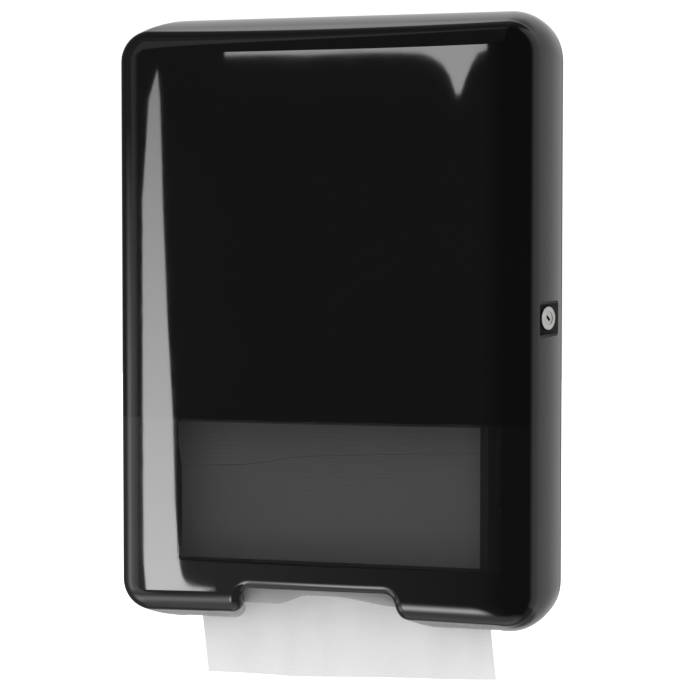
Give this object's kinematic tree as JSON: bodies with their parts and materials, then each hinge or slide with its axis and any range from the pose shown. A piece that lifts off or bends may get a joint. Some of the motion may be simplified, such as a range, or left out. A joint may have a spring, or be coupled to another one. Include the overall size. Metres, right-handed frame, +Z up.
{
  "type": "hand towel dispenser",
  "caption": "Wall-mounted cabinet for folded paper hand towels, with a hinged crowned cover, a smoked lower window, a key lock and a towel hanging from its slot.",
  "frame": {"origin": "centre of the wall plate's back face, at mid-height of the cover", "axes": "+Z up, +X to the right seen from the front, -Y out of the wall towards the user"},
  "size_m": [0.307, 0.102, 0.479],
  "materials": {
    "gloss_black": "polished black plastic",
    "smoked_window": "polished smoked translucent plastic",
    "black_moulding": "fine grained black plastic",
    "grey_moulding": "smooth light grey plastic",
    "paper": "soft embossed white tissue paper",
    "lock_chrome": "satin chromed metal",
    "steel": "zinc plated steel",
    "brass": "plain brass"
  },
  "bodies": {
    "chassis": {"wall_plate": "black_moulding", "towel_tray": "black_moulding", "left_stack_guide": "black_moulding", "right_stack_guide": "black_moulding", "dispensing_lip": "grey_moulding", "upper_hinge_bracket": "black_moulding", "lower_hinge_bracket": "black_moulding", "upper_hinge_pin": "steel", "lower_hinge_pin": "steel", "lock_strike": "black_moulding", "bracket_screws": "steel", "guide_screws": "steel", "tray_screws": "steel", "strike_screw": "steel", "lip_screws": "steel", "lower_towel_bundle": "paper", "upper_towel_bundle": "paper"},
    "cover": {"cover_shell": "gloss_black", "window_panel": "smoked_window", "window_rivets": "steel", "hinge_strip": "black_moulding", "strip_rivets": "steel", "lock_recess": "gloss_black", "lock_body": "lock_chrome", "lock_nut": "steel"},
    "lock_cylinder": {"lock_plug": "lock_chrome", "lock_wafers": "brass", "lock_cam": "steel", "cam_screw": "steel"},
    "lead_towel": {"leading_towel": "paper"}
  },
  "joints": [
    {"name": "cover_hinge", "type": "hinge", "parent": "chassis", "child": "cover", "pos_m": [-0.142, -0.016, 0], "axis": [0, 0, -1], "range_deg": [0, 90]},
    {"name": "lock_turn", "type": "hinge", "parent": "cover", "child": "lock_cylinder", "pos_m": [0.14819, -0.02736, 0.0035], "axis": [0.9184, -0.3955, 0], "range_deg": [0, 90]},
    {"name": "towel_pull", "type": "slide", "parent": "chassis", "child": "lead_towel", "axis": [0, 0, -1], "range_m": [0, 0.035]}
  ]
}
